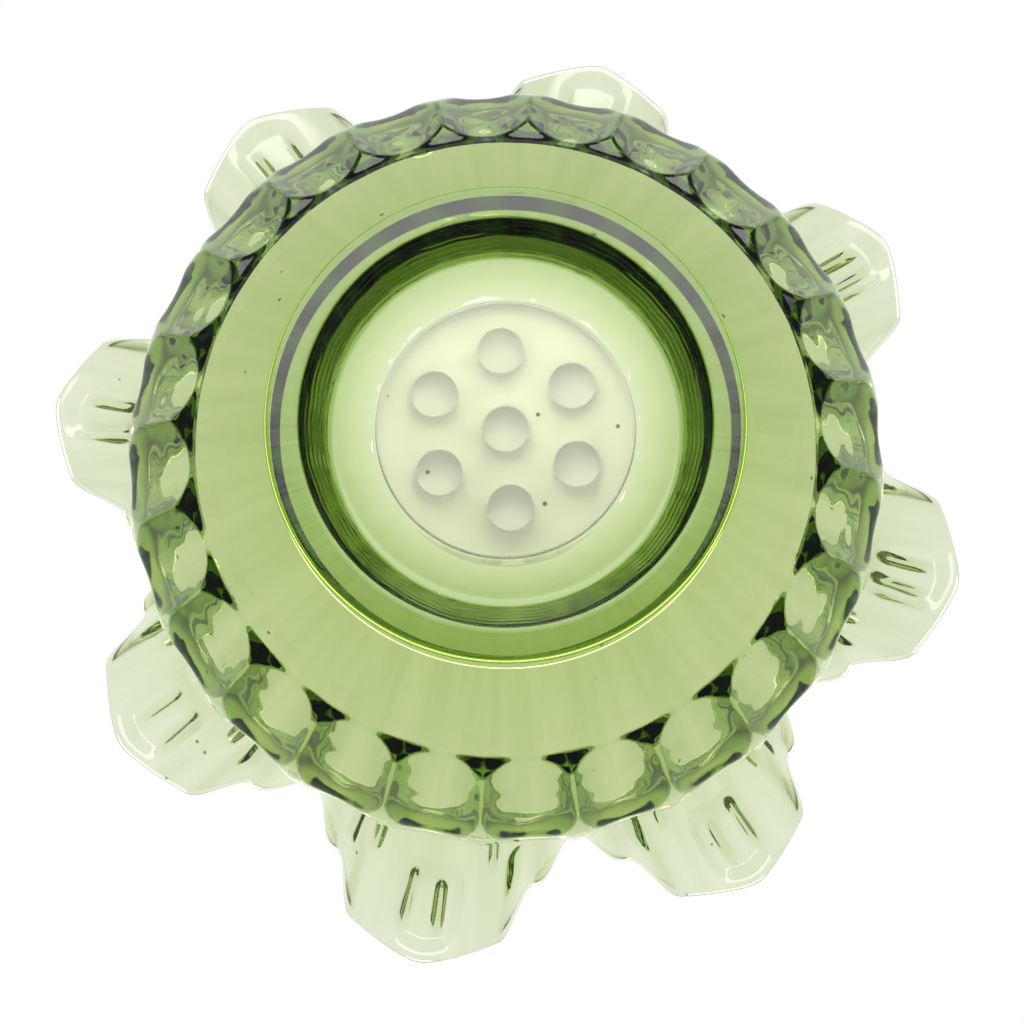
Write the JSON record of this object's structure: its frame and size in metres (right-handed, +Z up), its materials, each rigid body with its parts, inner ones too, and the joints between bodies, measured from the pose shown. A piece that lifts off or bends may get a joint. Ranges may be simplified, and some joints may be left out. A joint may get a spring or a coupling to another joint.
{
  "type": "flower frog bowl",
  "caption": "Footed green pressed-glass flower bowl with thumbprint sides and a ruffled rim, and a lift-out clear glass flower frog with stem holes standing in its floor.",
  "frame": {"origin": "centre of the foot ring's resting face", "axes": "+Z up through the open mouth, on the bowl's axis; +X through the middle of one ruffle, one column of thumbprints and one stem hole of the frog's ring"},
  "size_m": [0.2151, 0.2149, 0.107],
  "materials": {
    "green_glass": "fire-polished, olive green, see-through",
    "clear_glass": "fire-polished, nearly colourless, see-through"
  },
  "bodies": {
    "bowl": {"glass_bowl": "green_glass"},
    "frog": {"glass_frog": "clear_glass"}
  },
  "joints": [
    {"name": "frog_lift", "type": "slide", "parent": "bowl", "child": "frog", "axis": [0, 0, 1], "range_m": [0, 0.1]}
  ]
}
